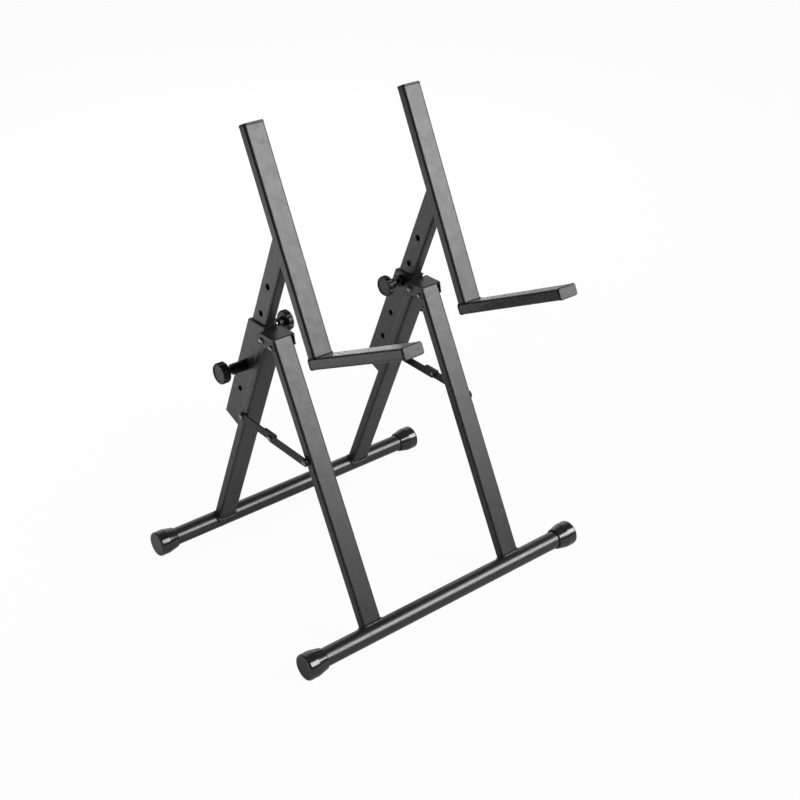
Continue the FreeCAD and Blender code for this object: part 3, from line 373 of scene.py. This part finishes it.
# Radii of the black lines painted as shade under the brackets and round the plugs
SHADOW_LINE_BEAD = 0.0009
GAP_SHADE_BEAD = 0.0006


def leaning(foot, x, y, z):
    """A point of a leaning frame, in the stand's own axes."""
    foot_y, foot_z, lean = foot
    turn = Matrix.Rotation(math.radians(lean), 3, "X")
    return Vector((x, foot_y, foot_z)) + turn @ Vector((0, y, z))


def tube_outline(half_x, half_y, middle_y):
    """Points round a rectangular tube with round corners, as (x, y)."""
    points = []
    for quarter, (sx, sy) in enumerate(((1, 1), (-1, 1), (-1, -1), (1, -1))):
        for step in range(CORNER_STEPS + 1):
            angle = math.radians(90 * (quarter + step / CORNER_STEPS))
            x = sx * (half_x - TUBE_CORNER) + TUBE_CORNER * math.cos(angle)
            y = sy * (half_y - TUBE_CORNER) + TUBE_CORNER * math.sin(angle)
            points.append((x, middle_y + y))
    return points


def evenly(points, pitch):
    """The same closed path, cut into equal steps of about the given length."""
    ends = points[1:] + points[:1]
    spans = [(b - a).length for a, b in zip(points, ends)]
    total = sum(spans)
    count = max(BEAD_LEAST_STEPS, round(total / pitch))
    path = []
    leg = 0
    start = 0.0
    for index in range(count):
        along = total * index / count
        while along > start + spans[leg]:
            start += spans[leg]
            leg += 1
        path.append(points[leg].lerp(ends[leg], (along - start) / spans[leg]))
    return path


def bead_rings(mesh, path, radius, ripple):
    """Rings of points round a closed path, swelling in overlapping ripples."""
    rings = []
    side = None
    for index, point in enumerate(path):
        along = (path[(index + 1) % len(path)] - path[index - 1]).normalized()
        side = along.orthogonal() if side is None else side - along * side.dot(along)
        side.normalize()
        other = along.cross(side)
        wave = (index % RIPPLE_STEPS) / RIPPLE_STEPS - 0.5 + SWELL_SIZE * math.sin(index * SWELL_TURN)
        swell = radius * (1 + ripple * wave)
        ring = []
        for spoke in range(BEAD_SIDES):
            turn = 2 * math.pi * spoke / BEAD_SIDES
            ring.append(mesh.verts.new(point + swell * (math.cos(turn) * side + math.sin(turn) * other)))
        rings.append(ring)
    return rings


def bead(name, points, radius, ripple, material, body):
    """A closed bead along a joint, with ripples where it is a weld."""
    mesh = bmesh.new()
    rings = bead_rings(mesh, evenly(points, BEAD_STEP), radius, ripple)
    closing = min(range(BEAD_SIDES), key=lambda k: (rings[0][k].co - rings[-1][0].co).length)
    for index, near in enumerate(rings):
        last = index == len(rings) - 1
        far = rings[0] if last else rings[index + 1]
        shift = closing if last else 0
        for spoke in range(BEAD_SIDES):
            a = near[spoke]
            b = near[(spoke + 1) % BEAD_SIDES]
            c = far[(spoke + 1 + shift) % BEAD_SIDES]
            d = far[(spoke + shift) % BEAD_SIDES]
            mesh.faces.new((a, b, c, d))
    bmesh.ops.recalc_face_normals(mesh, faces=mesh.faces)
    for face in mesh.faces:
        face.smooth = True
    data = bpy.data.meshes.new(name)
    mesh.to_mesh(data)
    mesh.free()
    data.materials.append(material)
    piece = bpy.data.objects.new(name, data)
    scene.collection.objects.link(piece)
    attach(piece, body)


def weld(name, points, radius, body, material=PAINT):
    bead(name, points, radius, WELD_RIPPLE, material, body)


def foot_weld(name, foot, x, middle, body):
    """Round a leg's coped foot, over the base tube."""
    outline = tube_outline(HALF_WIDTH, HALF_DEPTH, middle)
    points = [leaning(foot, x + a, b, math.sqrt(BASE_RADIUS ** 2 - b ** 2)) for a, b in outline]
    weld(name, points, FOOT_BEAD, body)


def mast_weld(name, x, body):
    """Round the mast's slanted top, against the upright's rear face."""
    outline = tube_outline(HALF_DEPTH, HALF_WIDTH, MAST_MID)
    points = [leaning(REAR_FOOT, x + a, b, MAST_TOP + MAST_TOP_SLOPE * (b - MAST_MID)) for a, b in outline]
    weld(name, points, MAST_BEAD, body)


def shaded_arm_weld(name, x, body):
    """Round the upright's foot, on the arm's top, in black as painted shade where the upright meets the arm.
    """
    outline = tube_outline(HALF_WIDTH, HALF_DEPTH, -HALF_DEPTH)
    points = [leaning(REST_FOOT, x + a, b, 0) for a, b in outline]
    weld(name, points, ARM_BEAD, body, BLACK)


def boss_weld(name, x, up, radius, body):
    """Round a boss on the sleeve's side."""
    points = []
    for step in range(BOSS_STEPS):
        angle = 2 * math.pi * step / BOSS_STEPS
        y = MAST_MID + radius * math.cos(angle)
        z = up + radius * math.sin(angle)
        points.append(leaning(REAR_FOOT, x, y, z))
    weld(name, points, BOSS_BEAD, body)


def bracket_shadow_line(name, x, body):
    """A black line round the front leg's top under the bracket, painted as the shadow beneath the bracket's
    overhang.
    """
    outline = tube_outline(HALF_WIDTH, HALF_DEPTH, FRONT_LEG_MID)
    points = [leaning(FRONT_FOOT, x + a, b, FRONT_LEG_TOP) for a, b in outline]
    bead(name, points, SHADOW_LINE_BEAD, 0.0, BLACK, body)


def plug_gap_shade(name, x, centre, turned, body):
    """A thin dark ring round an end plug's joint with its tube in a rest, painted as the shade in the gap
    between them.
    """
    centre_y, centre_z = centre
    points = []
    for a, b in tube_outline(HALF_WIDTH, HALF_DEPTH, 0):
        y, z = (centre_y, centre_z + b) if turned else (centre_y + b, centre_z)
        points.append(leaning(REST_FOOT, x + a, y, z))
    bead(name, points, GAP_SHADE_BEAD, 0.0, GUIDE, body)


def lay_beads():
    """The welds of both sides, the arm's weld painted black as shade, and the black lines of painted shade
    under the brackets and round the plugs.
    """
    for name, side in SIDES.items():
        x = side * LEG_PLANE
        wall = side * SLEEVE_SIDE
        rest = f"{name}_rest"
        foot_weld(f"{name}_rear_foot_weld", REAR_FOOT, x, REAR_LEG_MID, "rear_frame")
        foot_weld(f"{name}_front_foot_weld", FRONT_FOOT, x, FRONT_LEG_MID, "front_frame")
        bracket_shadow_line(f"{name}_bracket_shadow_line", x, "front_frame")
        mast_weld(f"{name}_mast_weld", x, rest)
        shaded_arm_weld(f"{name}_shaded_arm_weld", x, rest)
        plug_gap_shade(f"{name}_upright_gap_shade", x, (-HALF_DEPTH, UPRIGHT_LENGTH), False, rest)
        plug_gap_shade(f"{name}_arm_front_gap_shade", x, (-ARM_LENGTH, -HALF_DEPTH), True, rest)
        plug_gap_shade(f"{name}_arm_rear_gap_shade", x, (0, -HALF_DEPTH), True, rest)
        boss_weld(f"{name}_lock_weld", x + wall, LOCK_UP, BARREL_RADIUS, "rear_frame")
        boss_weld(f"{name}_clamp_weld", x - wall, CLAMP_UP, NUT_RADIUS, "rear_frame")


# Studio: the fill, the paper sweep behind the stand and the dim room in front of it, as reflections see them
WHITE = (1, 1, 1, 1)
FILL = 0.20
SWEEP_SIDE = (0.64, 0.768, 0.0)
SWEEP_START = 0.62
SWEEP_FULL = 0.88
SWEEP_LEVEL = 1.0
ROOM_LEVEL = 0.10

# Floor: its reach in metres, its own tone, and how white it is to the eye and in reflections
FLOOR_REACH = 12.0
FLOOR_BLOTCHES = 2.0
FLOOR_TONES = ((0.54, 0.54, 0.54), (0.57, 0.57, 0.57))
FLOOR_ROUGH = 0.9
FLOOR_WHITE = 0.96
FLOOR_MIRRORED = 0.08


def softbox(name, location, width, height, watts, target, mirrored=True):
    """A rectangular lamp aimed at a point, which shows in reflections if it is mirrored."""
    data = bpy.data.lights.new(name, "AREA")
    data.shape = "RECTANGLE"
    data.size = width
    data.size_y = height
    data.energy = watts
    lamp = bpy.data.objects.new(name, data)
    lamp.location = location
    lamp.rotation_euler = (Vector(target) - lamp.location).to_track_quat("-Z", "Y").to_euler()
    lamp.visible_camera = False
    lamp.visible_glossy = mirrored
    scene.collection.objects.link(lamp)


def backdrop(tree):
    """What reflections see: a white paper sweep behind the stand and a dim room in front of it."""
    place = tree.nodes.new("ShaderNodeTexCoord")
    facing = tree.nodes.new("ShaderNodeVectorMath")
    facing.operation = "DOT_PRODUCT"
    facing.inputs[1].default_value = SWEEP_SIDE
    tree.links.new(place.outputs["Generated"], facing.inputs[0])
    ramp = tree.nodes.new("ShaderNodeMapRange")
    ramp.inputs["From Min"].default_value = SWEEP_START
    ramp.inputs["From Max"].default_value = SWEEP_FULL
    ramp.inputs["To Min"].default_value = ROOM_LEVEL
    ramp.inputs["To Max"].default_value = SWEEP_LEVEL
    tree.links.new(facing.outputs["Value"], ramp.inputs["Value"])
    sweep = tree.nodes.new("ShaderNodeBackground")
    sweep.inputs["Strength"].default_value = 1.0
    tree.links.new(ramp.outputs["Result"], sweep.inputs["Color"])
    return sweep.outputs["Background"]


def light_studio():
    """Plain fill, a white background for the eye, a large soft box and two pools of light on the floor."""
    world = bpy.data.worlds.new("studio")
    world.use_nodes = True
    scene.world = world
    tree = world.node_tree
    fill = tree.nodes["Background"]
    fill.inputs["Color"].default_value = WHITE
    fill.inputs["Strength"].default_value = FILL
    white = tree.nodes.new("ShaderNodeBackground")
    white.inputs["Color"].default_value = WHITE
    white.inputs["Strength"].default_value = 1.0
    path = tree.nodes.new("ShaderNodeLightPath")
    room = mixed(tree, path.outputs["Is Glossy Ray"], fill.outputs["Background"], backdrop(tree))
    eye = larger(tree, path.outputs["Is Camera Ray"], path.outputs["Is Transmission Ray"])
    shown = mixed(tree, eye, room, white.outputs["Background"])
    tree.links.new(shown, tree.nodes["World Output"].inputs["Surface"])
    softbox("front_right", location=(1.49, -1.97, 1.68), width=1.7, height=1.5, watts=90.0,
            target=(0, 0, 0.3))
    softbox("back_left", location=(-0.95, 1.0, 0.7), width=0.5, height=0.5, watts=20.0,
            target=(-0.95, 1.0, 0), mirrored=False)
    softbox("back_right", location=(0.85, 1.40, 0.7), width=0.5, height=0.5, watts=18.0,
            target=(0.85, 1.40, 0), mirrored=False)


def lay_floor():
    """A plain pale floor that keeps the stand's shadow."""
    mesh = bpy.data.meshes.new("floor")
    grid = bmesh.new()
    bmesh.ops.create_grid(grid, x_segments=1, y_segments=1, size=FLOOR_REACH)
    grid.to_mesh(mesh)
    grid.free()
    floor = bpy.data.objects.new("floor", mesh)
    scene.collection.objects.link(floor)
    made = Nodes("floor")
    made.tint(made.noise(FLOOR_BLOTCHES), FLOOR_TONES)
    made.shader.inputs["Roughness"].default_value = FLOOR_ROUGH
    made.shader.inputs["Specular IOR Level"].default_value = 0.0
    glow = made.add("ShaderNodeEmission", Strength=1.0)
    path = made.add("ShaderNodeLightPath")
    eye = larger(made.tree, path.outputs["Is Camera Ray"], path.outputs["Is Transmission Ray"])
    seen = share(made.tree, eye, FLOOR_WHITE)
    mirrored = share(made.tree, path.outputs["Is Glossy Ray"], FLOOR_MIRRORED)
    white = larger(made.tree, seen, mirrored)
    shown = mixed(made.tree, white, made.shader.outputs["BSDF"], glow.outputs["Emission"])
    made.link(shown, made.tree.nodes["Material Output"].inputs["Surface"])
    mesh.materials.append(made.material)


place_camera()
dress_nodes()
lay_beads()
light_studio()
lay_floor()
